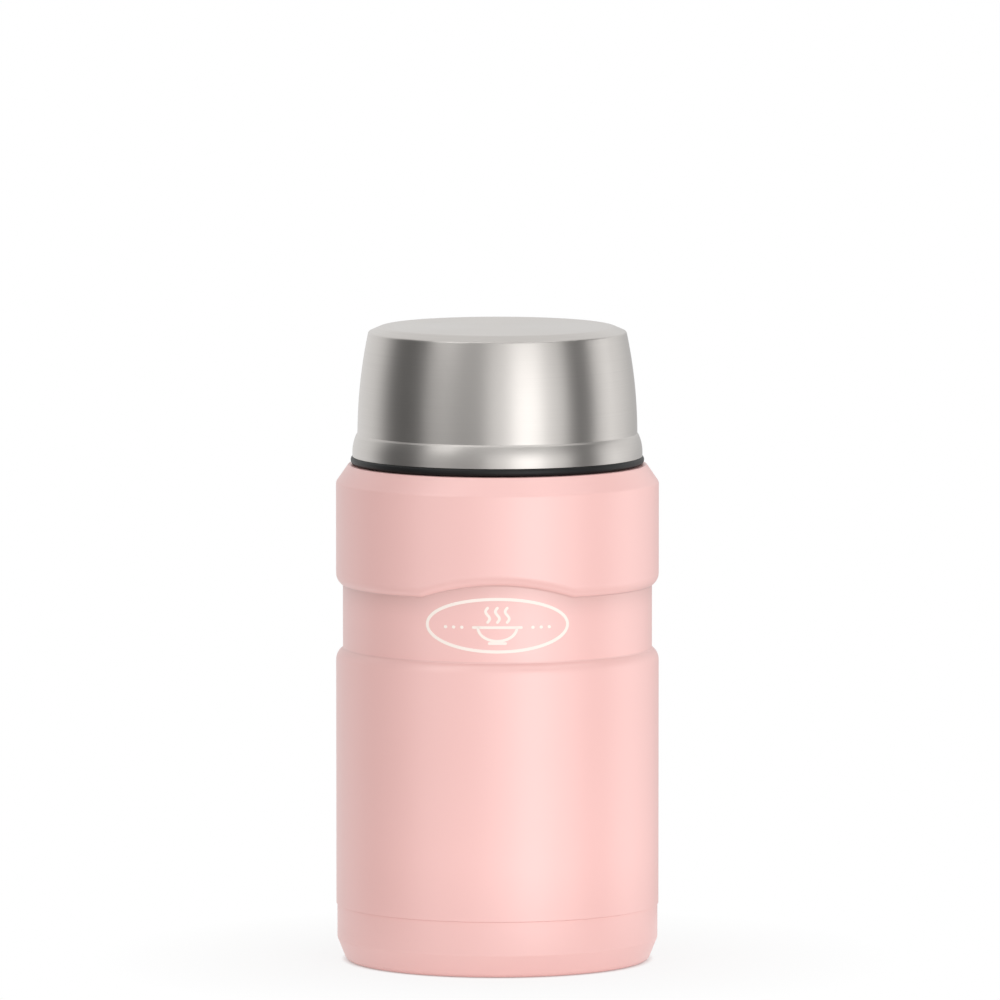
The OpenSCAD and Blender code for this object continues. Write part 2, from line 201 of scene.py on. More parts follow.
# Height of the ridges, degrees that one runs round, and its start below the jar's rim
ridgeSizes = {
    "neckThread": {"height": 1.0, "span": 86, "drop": 5.9},
    "mouthThread": {"height": 0.8, "span": 86, "drop": 5.9},
    "plugThread": {"height": 0.9, "span": 72, "drop": 7.9},
    "ringThread": {"height": 1.05, "span": 72, "drop": 7.9},
}


# Rounded thread ridges on a wall. side is 1 outside a wall and -1 inside it.
def threadRidges(name, wallRadius, side):
    height, span = ridgeSizes[name]["height"], ridgeSizes[name]["span"]
    startZ = nodeSize("inner_vessel")["top"] - ridgeSizes[name]["drop"]
    steps, across, end = thread["steps"], thread["across"], thread["endShare"]
    verts, faces = [], []
    for start in range(thread["starts"]):
        first = len(verts)
        for i in range(steps + 1):
            turn = span * i / steps
            angle = math.radians(360 * start / thread["starts"] + turn)
            fade = min(1, min(turn, span - turn) / thread["runout"])
            rise = height * math.sin(math.pi / 2 * (end + (1 - end) * fade))
            z = startZ + thread["lead"] * turn / 360
            for k in range(across):
                share = -1 + 2 * k / (across - 1)
                crown = rise * (1 - abs(share) ** thread["crown"])
                bulge = crown - thread["sink"] * abs(share) ** thread["root"]
                dz = thread["halfWidth"] * share
                verts.append(wallPoint(wallRadius + side * bulge, angle, z + dz))
            verts.append(wallPoint(wallRadius - side * thread["sink"] * thread["backing"], angle, z))
        ring = across + 1
        for i in range(steps):
            for k in range(ring):
                a = first + i * ring + k
                b = first + i * ring + (k + 1) % ring
                faces.append([a, b, b + ring, a + ring])
        faces.append([first + k for k in range(ring)])
        faces.append([first + steps * ring + k for k in reversed(range(ring))])
    return finishMesh(name, verts, faces, thread["sharpAngle"])


def dress(piece, material, body, replaced=()):
    piece.data.materials.append(material)
    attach(piece, body)
    if replaced:
        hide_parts(*replaced)


# A screen colour, 0 to 255, as the linear value a shader takes
def screenColour(red, green, blue):
    linear = []
    for value in (red, green, blue):
        share = value / 255
        linear.append(share / 12.92 if share <= 0.04045 else ((share + 0.055) / 1.055) ** 2.4)
    return (*linear, 1)


def newMaterial(name):
    material = bpy.data.materials.new(name)
    material.use_nodes = True
    nodes = material.node_tree.nodes
    return material, nodes, material.node_tree.links, nodes["Principled BSDF"]


def addNoise(nodes, links, vector, scale, detail=2, roughness=0.5):
    noise = nodes.new("ShaderNodeTexNoise")
    noise.inputs["Scale"].default_value = scale
    noise.inputs["Detail"].default_value = detail
    noise.inputs["Roughness"].default_value = roughness
    links.new(vector, noise.inputs["Vector"])
    return noise.outputs["Fac"]


def objectPlace(nodes):
    return nodes.new("ShaderNodeTexCoord").outputs["Object"]


def addBump(nodes, links, shader, height, distance):
    bump = nodes.new("ShaderNodeBump")
    bump.inputs["Distance"].default_value = distance
    bump.inputs["Strength"].default_value = 1
    links.new(height, bump.inputs["Height"])
    links.new(bump.outputs["Normal"], shader.inputs["Normal"])


# Noise mostly lies between 0.3 and 0.7, so these are the usual ends.
def addRange(nodes, links, value, toLow, toHigh, fromLow=0.3, fromHigh=0.7):
    ranged = nodes.new("ShaderNodeMapRange")
    ranged.inputs["From Min"].default_value = fromLow
    ranged.inputs["From Max"].default_value = fromHigh
    ranged.inputs["To Min"].default_value = toLow
    ranged.inputs["To Max"].default_value = toHigh
    links.new(value, ranged.inputs["Value"])
    return ranged.outputs["Result"]


# Links a value into a socket, or sets the socket to it when it is a number or a vector
def feed(links, value, socket):
    if isinstance(value, bpy.types.NodeSocket):
        links.new(value, socket)
    else:
        socket.default_value = value


def addBlend(nodes, links, factor, first, second):
    blend = nodes.new("ShaderNodeMix")
    blend.data_type = "RGBA"
    links.new(factor, blend.inputs["Factor"])
    feed(links, first, blend.inputs["A"])
    feed(links, second, blend.inputs["B"])
    return blend.outputs["Result"]


def addMath(nodes, links, operation, *values):
    step = nodes.new("ShaderNodeMath")
    step.operation = operation
    for value, socket in zip(values, step.inputs):
        feed(links, value, socket)
    return step.outputs[0]


def addVectorMath(nodes, links, operation, *values):
    step = nodes.new("ShaderNodeVectorMath")
    step.operation = operation
    for value, socket in zip(values, step.inputs):
        feed(links, value, socket)
    return step.outputs["Value" if operation in ("LENGTH", "DOT_PRODUCT") else "Vector"]


# Colour that drifts between a look's two, with the roughness that follows its grain
def addLook(nodes, links, shader, look, drift, grain):
    first, second = screenColour(*look["colour"]), screenColour(*look["shade"])
    colour = addBlend(nodes, links, drift, first, second)
    links.new(colour, shader.inputs["Base Color"])
    links.new(addRange(nodes, links, grain, *look["roughness"]), shader.inputs["Roughness"])
    return colour


powderCoat = {
    "colour": (250, 200, 195),
    "shade": (248, 197, 192),   # what the coat drifts to, over a few centimetres
    "thin": (228, 183, 178),    # painted shade, below the band's inner corners
    "roughness": (0.3, 0.36),
    "ior": 1.8,
    "drift": 28,                # drifts of colour a metre
    "peel": 700,                # waves a metre in the coat's orange peel
    "peelDepth": 0.000012,
    "grain": 2600,
    "grainShare": 0.25,         # height of the grain on the peel
}


def makePowderCoat(look):
    material, nodes, links, shader = newMaterial("powderCoat")
    place = objectPlace(nodes)
    drift = addNoise(nodes, links, place, look["drift"], 3)
    peel = addNoise(nodes, links, place, look["peel"], 1)
    grain = addNoise(nodes, links, place, look["grain"], 2)
    colour = addLook(nodes, links, shader, look, drift, grain)
    # painted shade below the band's inner corners, stronger where the attribute is higher
    thin = nodes.new("ShaderNodeAttribute")
    thin.attribute_name = "paintedCornerShade"
    colour = addBlend(nodes, links, thin.outputs["Fac"], colour, screenColour(*look["thin"]))
    links.new(colour, shader.inputs["Base Color"])
    height = addMath(nodes, links, "MULTIPLY_ADD", grain, look["grainShare"], peel)
    addBump(nodes, links, shader, height, look["peelDepth"])
    shader.inputs["IOR"].default_value = look["ior"]
    return material


satinSteel = {
    "colour": (204, 200, 196),
    "shade": (196, 192, 188),
    "roughness": (0.33, 0.39),
    "lines": 7200,              # brush lines a metre across the brushing
    "lineLength": 22,           # and along it
    "cloud": 35,                # cloudy patches a metre
    "cloudShare": 0.35,         # their share of the roughness, the rest being the lines'
    "depth": 0.0000016,
    "anisotropic": 0.5,
}
bareSteel = satinSteel | {
    "colour": (205, 202, 198),
    "shade": (194, 191, 187),
    "roughness": (0.2, 0.28),
    "lines": 3600,
    "lineLength": 30,
    "anisotropic": 0.35,
}


# Steel brushed on a lathe: lines run round the side and in rings on the top
def makeSteel(name, look):
    material, nodes, links, shader = newMaterial(name)
    place = objectPlace(nodes)
    split = nodes.new("ShaderNodeSeparateXYZ")
    links.new(place, split.inputs[0])
    level = addVectorMath(nodes, links, "MULTIPLY", place, (1, 1, 0))
    radius = addVectorMath(nodes, links, "LENGTH", level)
    joined = nodes.new("ShaderNodeCombineXYZ")
    links.new(split.outputs["X"], joined.inputs["X"])
    links.new(split.outputs["Y"], joined.inputs["Y"])
    links.new(addMath(nodes, links, "ADD", split.outputs["Z"], radius), joined.inputs["Z"])
    scale = (look["lineLength"], look["lineLength"], look["lines"])
    stretched = addVectorMath(nodes, links, "MULTIPLY", joined.outputs[0], scale)
    lines = addNoise(nodes, links, stretched, 1, 3, 0.6)
    cloud = addNoise(nodes, links, place, look["cloud"], 3)
    lineShare = addMath(nodes, links, "MULTIPLY", lines, 1 - look["cloudShare"])
    mixed = addMath(nodes, links, "MULTIPLY_ADD", cloud, look["cloudShare"], lineShare)
    addLook(nodes, links, shader, look, lines, mixed)
    addBump(nodes, links, shader, lines, look["depth"])
    tangent = nodes.new("ShaderNodeTangent")
    tangent.direction_type = "RADIAL"
    tangent.axis = "Z"
    links.new(tangent.outputs["Tangent"], shader.inputs["Tangent"])
    shader.inputs["Metallic"].default_value = 1
    shader.inputs["Anisotropic"].default_value = look["anisotropic"]
    shader.inputs["Anisotropic Rotation"].default_value = 0.25  # glints stretch across the lines
    return material


cloudSpread = 40    # a patch of shade is this many grains wide
# plain moulded and fused materials; grain is in grains a metre
mouldings = {
    "blackPlastic": {
        "colour": (15, 15, 16), "shade": (20, 20, 21), "roughness": (0.42, 0.52),
        "grain": 3200, "depth": 0.000015, "gloss": 0.36,
    },
    "silicone": {
        "colour": (226, 226, 222), "shade": (214, 215, 211), "roughness": (0.38, 0.48),
        "grain": 900, "depth": 0.00001, "softness": 0.15, "softDepth": 0.002,
    },
    "foam": {
        "colour": (240, 234, 214), "shade": (222, 214, 190), "roughness": (0.85, 0.95),
        "grain": 1400, "depth": 0.0002,
    },
    "sealGlass": {
        "colour": (86, 58, 30), "shade": (58, 36, 18), "roughness": (0.08, 0.16),
        "grain": 500, "depth": 0.00002,
    },
    "getterPowder": {
        "colour": (72, 72, 76), "shade": (54, 54, 57), "roughness": (0.7, 0.85),
        "grain": 3600, "depth": 0.00006, "metallic": 0.6,
    },
    "printInk": {
        "colour": (255, 244, 236), "shade": (252, 238, 229), "roughness": (0.4, 0.5),
        "grain": 2200, "depth": 0.000004,
    },
}


def makeMoulding(name, look):
    material, nodes, links, shader = newMaterial(name)
    place = objectPlace(nodes)
    grain = addNoise(nodes, links, place, look["grain"], 3)
    cloud = addNoise(nodes, links, place, look["grain"] / cloudSpread, 2)
    addLook(nodes, links, shader, look, cloud, grain)
    addBump(nodes, links, shader, grain, look["depth"])
    shader.inputs["Metallic"].default_value = look.get("metallic", 0)
    shader.inputs["Specular IOR Level"].default_value = look.get("gloss", 0.5)
    if "softness" in look:
        shader.inputs["Subsurface Weight"].default_value = look["softness"]
        shader.inputs["Subsurface Scale"].default_value = look["softDepth"]
    return material


copperFoil = {
    "colour": (236, 172, 138),
    "shade": (214, 142, 108),
    "roughness": (0.18, 0.32),
    "wrinkles": 90,             # a metre
    "depth": 0.0003,
}


def makeFoil(look):
    material, nodes, links, shader = newMaterial("copperFoil")
    place = objectPlace(nodes)
    wrinkles = addNoise(nodes, links, place, look["wrinkles"], 5, 0.6)
    addLook(nodes, links, shader, look, wrinkles, wrinkles)
    addBump(nodes, links, shader, wrinkles, look["depth"])
    shader.inputs["Metallic"].default_value = 1
    return material


coat = makePowderCoat(powderCoat)
satin = makeSteel("satinSteel", satinSteel)
bare = makeSteel("bareSteel", bareSteel)
plastic, silicone, foam, sealGlass, getterPowder, printInk = (
    makeMoulding(name, look) for name, look in mouldings.items()
)
foil = makeFoil(copperFoil)
print("materials made")

shell = {
    "bandStart": 93.5,
    "bandEnd": 120.5,
    "bandDepth": 2.1,
    "bandEdge": 4.25,
    "bandCrease": 0.5,
    "archRise": 4.2,
    "archHalfAngle": 29.2,
    "archFoot": 0.03,          # share of each half that turns softly into the band's edge
    "liftMargin": 0.1,         # the arch moves points this far outside its own reach too
    "paintedShadeReach": 9,            # how far below the band's upper corner shade is painted into the coat
    "paintedShadeRows": (1, 0.66, 0.4, 0.2, 0.09),  # where the wall has points over that reach
    "paintedShadeAbove": 0.4,          # height of each corner's bend that gets painted shade as well
    "lowerPaintedShade": 0.5,          # how strong the painted shade is in the lower corner, as a share
    "lowerRow": 0.6,           # height of a row of points above that corner
    "shoulderStart": 148.7,
    "shoulderRadius": 46.2,
    "shoulderEdge": 1.6,
    "shoulderThin": (0.35, 0.2),  # how the wall's inside follows the shoulder's two bends
    "landTop": 154.2,
    "landEdge": 0.6,
    "landWidth": 0.8,          # from the neck to where the coat begins
    "neckRadius": 39.9,
    "neckFillet": 0.72,
    "wall": 0.5,
    "spigotInset": 0.6,        # the shell's foot stands this far inside the base cover
    "seamEdge": 0.14,
    "seamGap": 0.05,
}
shellSize = nodeSize("outer_shell")
baseSize = nodeSize("base_cup")
seamHeight = baseSize["top"] + shell["seamGap"]
bandSweep = math.acos(1 - shell["bandDepth"] / shell["bandEdge"])
lowerCorner = shell["bandStart"] + shell["bandEdge"] * math.sin(bandSweep)
upperCorner = shell["bandEnd"] - shell["bandEdge"] * math.sin(bandSweep)


# Rise of the band's upper edge at a share of the arch's half width
def archLift(share):
    foot = shell["archFoot"]
    share = abs(share)
    if share >= 1:
        return 0
    if share > 1 - foot:
        return shell["archRise"] * foot * ((1 - share) / foot) ** 2
    return shell["archRise"] * (1 - (1 - foot) * (share / (1 - foot)) ** 2)


# Lifts the band's upper edge into the arch, on the front half
def liftBand(radius, height, angle):
    low = upperCorner - shell["paintedShadeReach"] - shell["liftMargin"]
    if math.sin(angle) > 0 or not low < height < shell["bandEnd"] + shell["liftMargin"]:
        return radius, height
    bandRadius = shellSize["radius"] - shell["bandDepth"]
    halfWidth = bandRadius * math.sin(math.radians(shell["archHalfAngle"]))
    return radius, height + archLift(bandRadius * math.cos(angle) / halfWidth)


def bandWall(inset, crease):
    radius = shellSize["radius"] - inset
    edge, sweep = shell["bandEdge"], math.degrees(bandSweep)
    lower = arc(radius - edge, shell["bandStart"], edge, 0, sweep)
    upper = arc(radius - edge, shell["bandEnd"], edge, -sweep, 0)
    lower[-1] = (*lower[-1], crease)
    upper[0] = (*upper[0], crease)
    waist = radius - shell["bandDepth"]
    rows = [(waist, upperCorner - shell["paintedShadeReach"] * share) for share in shell["paintedShadeRows"]]
    return lower + [(waist, lowerCorner + shell["lowerRow"])] + rows + upper


# Marks how much shade is painted into the coat below the band's two inner corners: 1 is the upper
# one's, 0 is plain
def markPaintedCornerShade(piece):
    thin = piece.data.attributes.new("paintedCornerShade", "FLOAT", "POINT")
    for vertex, mark in zip(piece.data.vertices, thin.data):
        x, y, z = (value / mm for value in vertex.co)
        lift = liftBand(0, upperCorner, math.atan2(y, x))[1] - upperCorner
        for corner, reach, most in (
            (upperCorner + lift, shell["paintedShadeReach"], 1),
            (lowerCorner, lowerCorner - shell["bandStart"], shell["lowerPaintedShade"]),
        ):
            below = corner - z
            if -shell["paintedShadeAbove"] < below < reach:
                mark.value = most * (1 - max(0, below) / reach) ** 2


def makeShell():
    outer, wall = shellSize["radius"], shell["wall"]
    spigot = baseSize["radius"] - shell["spigotInset"] - shell["seamGap"]
    landEnd = shell["neckRadius"] + shell["landWidth"]
    bendIn, bendDown = shell["shoulderThin"]
    outside = [
        (spigot, shellSize["bottom"]),
        (spigot, seamHeight),
        (outer, seamHeight, shell["seamEdge"]),
        *bandWall(0, shell["bandCrease"]),
        (outer, shell["shoulderStart"], shell["shoulderEdge"]),
        (shell["shoulderRadius"], shell["landTop"], shell["landEdge"]),
        (landEnd, shell["landTop"]),
    ]
    inside = [
        (landEnd, shell["landTop"] - wall),
        (shell["shoulderRadius"] - bendIn, shell["landTop"] - wall),
        (outer - wall, shell["shoulderStart"] - bendDown),
        *reversed([point[:2] for point in bandWall(wall, 0)]),
        (outer - wall, seamHeight + wall),
        (spigot - wall, seamHeight + wall),
        (spigot - wall, shellSize["bottom"]),
    ]
    piece = turned("bodyShell", rounded(outside + inside), segments=480, reshape=liftBand)
    markPaintedCornerShade(piece)
    dress(piece, coat, "jar", ["outer_shell"])
    neck = shell["neckRadius"]
    sleeve = [
        (neck - wall, shell["landTop"] - wall),
        (landEnd, shell["landTop"] - wall),
        (landEnd, shell["landTop"]),
        (neck, shell["landTop"], shell["neckFillet"]),
        (neck, shellSize["top"]),
        (neck - wall, shellSize["top"]),
    ]
    dress(turned("neckSleeve", rounded(sleeve)), bare, "jar")
    dress(threadRidges("neckThread", neck, 1), bare, "jar")


makeShell()
print("shell and neck made")

base = {
    "seamEdge": 0.06,
    "bevelHeight": 6.95,
    "bevelBottom": 1,
    "bevelWidth": 2.4,
    "bevelEdge": 1.4,
    "footRadius": 1.8,
    "footInset": 1.6,
    "footWidth": 4,
    "wall": 0.6,
    "panelRise": 2,
    "panelSlope": 2.2,
    "panelEdge": 0.8,
    "innerToe": 1.3,           # the wall's inside, measured from the outside's toe and bevel
    "innerBend": (0.1, 1.4),
    "innerBevel": 0.3,
}


def makeBase():
    outer, wall = baseSize["radius"], base["wall"]
    slope = base["bevelWidth"] / (base["bevelHeight"] - base["bevelBottom"])
    toe = outer - base["bevelWidth"] - slope * base["bevelBottom"]
    ringIn = outer - base["bevelWidth"] - base["footInset"] - base["footWidth"]
    panel = ringIn - base["panelSlope"]
    rise, edge = base["panelRise"], base["panelEdge"]
    bendIn, bendHeight = base["innerBend"]
    outline = [
        (outer - wall, baseSize["top"]),
        (outer, baseSize["top"], base["seamEdge"]),
        (outer, base["bevelHeight"], base["bevelEdge"]),
        (toe, 0, base["footRadius"]),
        (ringIn, 0, edge),
        (panel, rise, edge),
        (0, rise),
        (0, rise + wall),
        (panel, rise + wall),
        (ringIn, wall),
        (toe - base["innerToe"], wall),
        (toe - bendIn, bendHeight),
        (outer - wall, base["bevelHeight"] + base["innerBevel"]),
    ]
    dress(turned("baseCover", rounded(outline), segments=320), coat, "jar", ["base_cup"])


makeBase()
print("base cover made")

vessel = {
    "wall": 0.4,
    "mouthRadius": 37.6,
    "seatRadius": 36.8,
    "seatHeight": 142.5,
    "seatLength": 6,
    "seatEdge": 0.8,
    "mouthStep": 1,            # height of the step from the seat out to the mouth
    "rimEdges": (0.35, 0.19),  # inside and outside of the rolled rim
    "flare": 8.5,
    "wallStart": 24,
    "floorEdge": 9,
}


def makeVessel():
    size = nodeSize("inner_vessel")
    wall, mouth, seat = vessel["wall"], vessel["mouthRadius"], vessel["seatRadius"]
    inner = nodeSize("inner_bottom")["radius"] - wall
    seatTop = vessel["seatHeight"] + vessel["seatLength"]
    flareStart = vessel["seatHeight"] - vessel["flare"]
    mouthStart = seatTop + vessel["mouthStep"]
    rimIn, rimOut = vessel["rimEdges"]
    outline = [
        (inner, vessel["wallStart"]),
        *sBend(inner, flareStart, seat, vessel["seatHeight"]),
        (seat, seatTop, vessel["seatEdge"]),
        (mouth, mouthStart, vessel["seatEdge"]),
        (mouth, size["top"], rimIn),
        (shell["neckRadius"], size["top"], rimOut),
        (shell["neckRadius"], size["top"] - wall),
        (mouth + wall, size["top"] - wall),
        (mouth + wall, mouthStart - wall),
        (seat + wall, seatTop - wall),
        *sBend(seat + wall, vessel["seatHeight"], inner + wall, flareStart),
        (inner + wall, vessel["wallStart"]),
    ]
    dress(turned("innerVessel", rounded(outline)), bare, "jar", ["inner_vessel"])
    dress(threadRidges("mouthThread", mouth, -1), bare, "jar")
    low = nodeSize("inner_bottom")["bottom"]
    edge = vessel["floorEdge"]
    floorZ = low + wall
    bottom = [
        (0, floorZ),
        *arc(inner - edge, floorZ + edge, edge, -90, 0, 18),
        (inner, vessel["wallStart"]),
        (inner + wall, vessel["wallStart"]),
        *arc(inner - edge, floorZ + edge, edge + wall, 0, -90, 18),
        (0, low),
    ]
    dress(turned("innerFloor", bottom), bare, "jar", ["inner_bottom"])


makeVessel()
print("inner vessel made")

stopper = {
    "wallRadius": 36.4,
    "wall": 1.6,
    "flangeRadius": 39.8,
    "flangeBottom": 164.3,
    "flangeTop": 165.8,
    "grooveBottom": 143.5,
    "grooveHeight": 3.5,
    "grooveDepth": 1.7,
    "grooveEdge": 0.25,
    "bottomEdge": 1.4,
    "flangeEdges": (0.5, 0.4),  # at the wall and at the rim
    "coverHeight": 2,
    "coverEdge": 0.55,
    "skirtGap": 0.1,           # between the cover's skirt and the plug's wall
    "skirtWidth": 1.4,
    "skirtDepth": 3,
    "ringGroove": (3.4, 5.6),  # plain groove in the cover, from its rim and from the grip
    "ringGrooveSlope": 1,
    "ringGrooveDepth": 0.7,
    "ringGrooveEdge": 0.5,
    "gripRadius": 20,
    "gripEdge": 3,
    "gripCove": 2.2,
    "flutes": 8,
    "fluteDepth": 2.5,
    "fluteNarrowing": 2.4,     # a larger power gives narrower flutes
    "fluteFoot": 4,            # height over which they deepen
    "fluteCrown": (1.5, 0.55),  # they thin out over this height, down to this share
    "fluteMargins": (0.3, 0.6),  # parts by the cover and on the grip's top that stay plain
    "dishStart": (1.6, 0.9),   # inset and roundness of the dish's edge, and of its foot
    "dishEnd": (3.4, 1.2),
    "dishDepth": 0.7,
}
stopperGasket = {
    "bore": 0.3,               # its play over the groove's floor
    "lipInset": 0.3,
    "lipEdge": 0.2,
    "ribDrop": 0.55,           # two ribs, this far from its top and bottom
    "ribEdge": 0.35,
    "waistDepth": 0.6,
    "waistEdge": 0.25,
}
plugSize = nodeSize("stopper_plug")
coverSize = nodeSize("stopper_cover")
coverTop = stopper["flangeTop"] + stopper["coverHeight"]


# Presses the finger flutes into the grip
def fluteGrip(radius, height, angle):
    above, within = stopper["fluteMargins"]
    if height < coverTop + above or radius < stopper["gripRadius"] - stopper["gripEdge"] - within:
        return radius, height
    fadeHeight, least = stopper["fluteCrown"]
    wave = 0.5 + 0.5 * math.cos(stopper["flutes"] * angle + math.pi)
    hollow = wave ** stopper["fluteNarrowing"]
    foot = min(1, (height - coverTop) / stopper["fluteFoot"])
    crown = min(1, (coverSize["top"] - height) / fadeHeight + least)
    return radius - stopper["fluteDepth"] * hollow * foot * crown, height


def makeStopper():
    wallR, wall, flange = stopper["wallRadius"], stopper["wall"], stopper["flangeRadius"]
    grooveR = wallR - stopper["grooveDepth"]
    grooveTop = stopper["grooveBottom"] + stopper["grooveHeight"]
    grooveEdge = stopper["grooveEdge"]
    inner = grooveR - wall
    plug = [
        (0, plugSize["bottom"]),
        (wallR, plugSize["bottom"], stopper["bottomEdge"]),
        (wallR, stopper["grooveBottom"], grooveEdge),
        (grooveR, stopper["grooveBottom"], grooveEdge),
        (grooveR, grooveTop, grooveEdge),
        (wallR, grooveTop, grooveEdge),
        (wallR, stopper["flangeBottom"], stopper["flangeEdges"][0]),
        (flange, stopper["flangeBottom"], stopper["flangeEdges"][1]),
        (flange, stopper["flangeTop"]),
        (inner, stopper["flangeTop"]),
        (inner, plugSize["bottom"] + wall),
        (0, plugSize["bottom"] + wall),
    ]
    dress(turned("stopperPlug", rounded(plug)), plastic, "stopper", ["stopper_plug"])
    dress(threadRidges("plugThread", wallR, 1), plastic, "stopper")
    makeCover(inner)
    makeStopperGasket(grooveR)


def makeCover(plugBore):
    low, top, flange = stopper["flangeTop"], coverSize["top"], stopper["flangeRadius"]
    grip, edge, cove = stopper["gripRadius"], stopper["gripEdge"], stopper["gripCove"]
    skirt = plugBore - stopper["skirtGap"]
    skirtIn = skirt - stopper["skirtWidth"]
    fromRim, fromGrip = stopper["ringGroove"]
    slope, groove = stopper["ringGrooveSlope"], stopper["ringGrooveEdge"]
    grooveZ = coverTop - stopper["ringGrooveDepth"]
    (dishIn, dishEdge), (floorIn, floorEdge) = stopper["dishStart"], stopper["dishEnd"]
    cover = [
        (0, low),
        (skirtIn, low),
        (skirtIn, low - stopper["skirtDepth"]),
        (skirt, low - stopper["skirtDepth"]),
        (skirt, low),
        (flange, low),
        (flange, coverTop, stopper["coverEdge"]),
        (flange - fromRim, coverTop, groove),
        (flange - fromRim - slope, grooveZ, groove),
        (grip + fromGrip, grooveZ, groove),
        (grip + fromGrip - slope, coverTop, groove),
        *arc(grip + cove, coverTop + cove, cove, -90, -180, 8),
        *arc(grip - edge, top - edge, edge, 0, 90, 10),
        (grip - edge - dishIn, top, dishEdge),
        (grip - edge - floorIn, top - stopper["dishDepth"], floorEdge),
        (0, top - stopper["dishDepth"]),
    ]
    piece = turned("stopperCover", rounded(cover), segments=384, reshape=fluteGrip)
    dress(piece, plastic, "stopper", ["stopper_cover"])


def makeStopperGasket(grooveR):
    size, gasket = nodeSize("stopper_gasket"), stopperGasket
    outer, low, high = size["radius"], size["bottom"], size["top"]
    bore, lip = grooveR + gasket["bore"], outer - gasket["lipInset"]
    outline = [
        (bore, low),
        (lip, low, gasket["lipEdge"]),
        (outer, low + gasket["ribDrop"], gasket["ribEdge"]),
        (outer - gasket["waistDepth"], (low + high) / 2, gasket["waistEdge"]),
        (outer, high - gasket["ribDrop"], gasket["ribEdge"]),
        (lip, high, gasket["lipEdge"]),
        (bore, high),
    ]
    piece = turned("stopperGasket", rounded(outline))
    dress(piece, silicone, "stopper_seal", ["stopper_gasket"])


makeStopper()
print("stopper made")

bowl = {
    "rimRadius": 44.92,
    "rimHeight": 1,
    "bulge": 13.3,             # radius of the bend between the rim and the crease
    "creaseHeight": 6.45,      # above the rim
    "creaseEdge": 0.08,
    "creaseLedge": 0.42,       # the small chamfer above the crease: its width
    "ledgeRise": 0.56,         # and its height
    "rimDrop": 0.15,           # how far the steel reaches down over the ring's shelf
    "rimCut": 0.06,            # roundness of its cut edge
    "sideCurve": 153,          # radius of the side's slight bend above it
    "sideMargins": (1.2, 1.6),  # the side's points begin and end this far from its bends
    "cornerDrop": 1.7,
    "cornerEdge": 0.9,
    "slopeWidth": 3.9,
    "topEdge": 4,
    "wall": 0.5,
    "linerMouth": 38.6,
    "linerLip": 0.3,
    "linerTop": 37.2,
    "linerWall": 0.4,
    "linerEdge": 5,
    "topGap": 2.5,
}
bowlSize = nodeSize("bowl_outer_shell")
creaseZ = bowlSize["bottom"] + bowl["creaseHeight"]


def bowlBulge(inset):
    start = bowlSize["bottom"] + bowl["rimHeight"]
    sweep = math.degrees(math.asin((creaseZ - start) / bowl["bulge"]))
    return arc(bowl["rimRadius"] - bowl["bulge"], start, bowl["bulge"] - inset, 0, sweep, 12)


def bowlSide(inset, fromZ, toZ, steps=24):
    crease = bowlBulge(0)[-1][0] - bowl["creaseLedge"]
    curve = bowl["sideCurve"]
    points = []
    for i in range(steps + 1):
        z = fromZ + (toZ - fromZ) * i / steps
        r = crease - curve + math.sqrt((curve - inset) ** 2 - (z - creaseZ) ** 2)
        points.append((r, z))
    return points


def makeBowl():
    wall, top = bowl["wall"], bowlSize["top"]
    cornerZ = top - bowl["cornerDrop"]
    cornerR = bowlSide(0, cornerZ, cornerZ, 1)[0][0]
    plateau = cornerR - bowl["slopeWidth"]
    *outer, crease = bowlBulge(0)
    above, below = bowl["sideMargins"]
    outline = [
        (bowl["rimRadius"] - wall, bowlSize["bottom"] - bowl["rimDrop"]),
        (bowl["rimRadius"], bowlSize["bottom"] - bowl["rimDrop"], bowl["rimCut"]),
        *outer,
        (crease[0], crease[1], bowl["creaseEdge"]),
        (crease[0] - bowl["creaseLedge"], creaseZ + bowl["ledgeRise"], bowl["creaseEdge"]),
        *bowlSide(0, creaseZ + above, cornerZ - below),
        (cornerR, cornerZ, bowl["cornerEdge"]),
        (plateau, top, bowl["topEdge"]),
        (0, top),
        (0, top - wall),
        (plateau, top - wall),
        (cornerR - wall, cornerZ - wall),
        *bowlSide(wall, cornerZ - 2 * wall, creaseZ),
        *reversed(bowlBulge(wall)),
    ]
    shellPiece = turned("bowlShell", rounded(outline), segments=360)
    dress(shellPiece, satin, "bowl", ["bowl_outer_shell"])
    low = nodeSize("bowl_liner")["bottom"]
    flange = nodeSize("bowl_liner")["radius"]
    thin, mouth, edge = bowl["linerWall"], bowl["linerMouth"], bowl["linerEdge"]
    ceiling = top - wall - bowl["topGap"]
    cornerZ = ceiling - thin - edge
    cornerR = bowl["linerTop"] - edge
    liner = [
        (mouth, low, bowl["linerLip"]),
        (flange, low),
        (flange, low + thin),
        (mouth + thin, low + thin),
        *arc(cornerR, cornerZ, edge + thin, 0, 90, 14),
        (0, ceiling),
        (0, ceiling - thin),
        *arc(cornerR, cornerZ, edge, 90, 0, 14),
    ]
    dress(turned("bowlLiner", rounded(liner)), bare, "bowl", ["bowl_liner"])


makeBowl()
print("bowl made")

ring = {
    "bore": 41.3,
    "lip": 0.51,              # how far its rounded edge stands out past the steel rim
    "edgeDepth": 1.1,
    "edgeFullness": 0.6,      # a smaller power gives a fuller edge
    "sleeveInset": 0.6,
    "ledgeHeight": 2.3,
    "cornerEdge": 0.3,
    "gasketWidth": 2.2,
}


# A full rounded edge between two heights
def roundNose(radius, low, high, depth, steps=20):
    points = []
    for i in range(steps + 1):
        angle = math.pi * (i / steps - 0.5)
        reach = depth * math.cos(angle) ** ring["edgeFullness"]
        points.append((radius - depth + reach, (low + high) / 2 + (high - low) / 2 * math.sin(angle)))
    return points


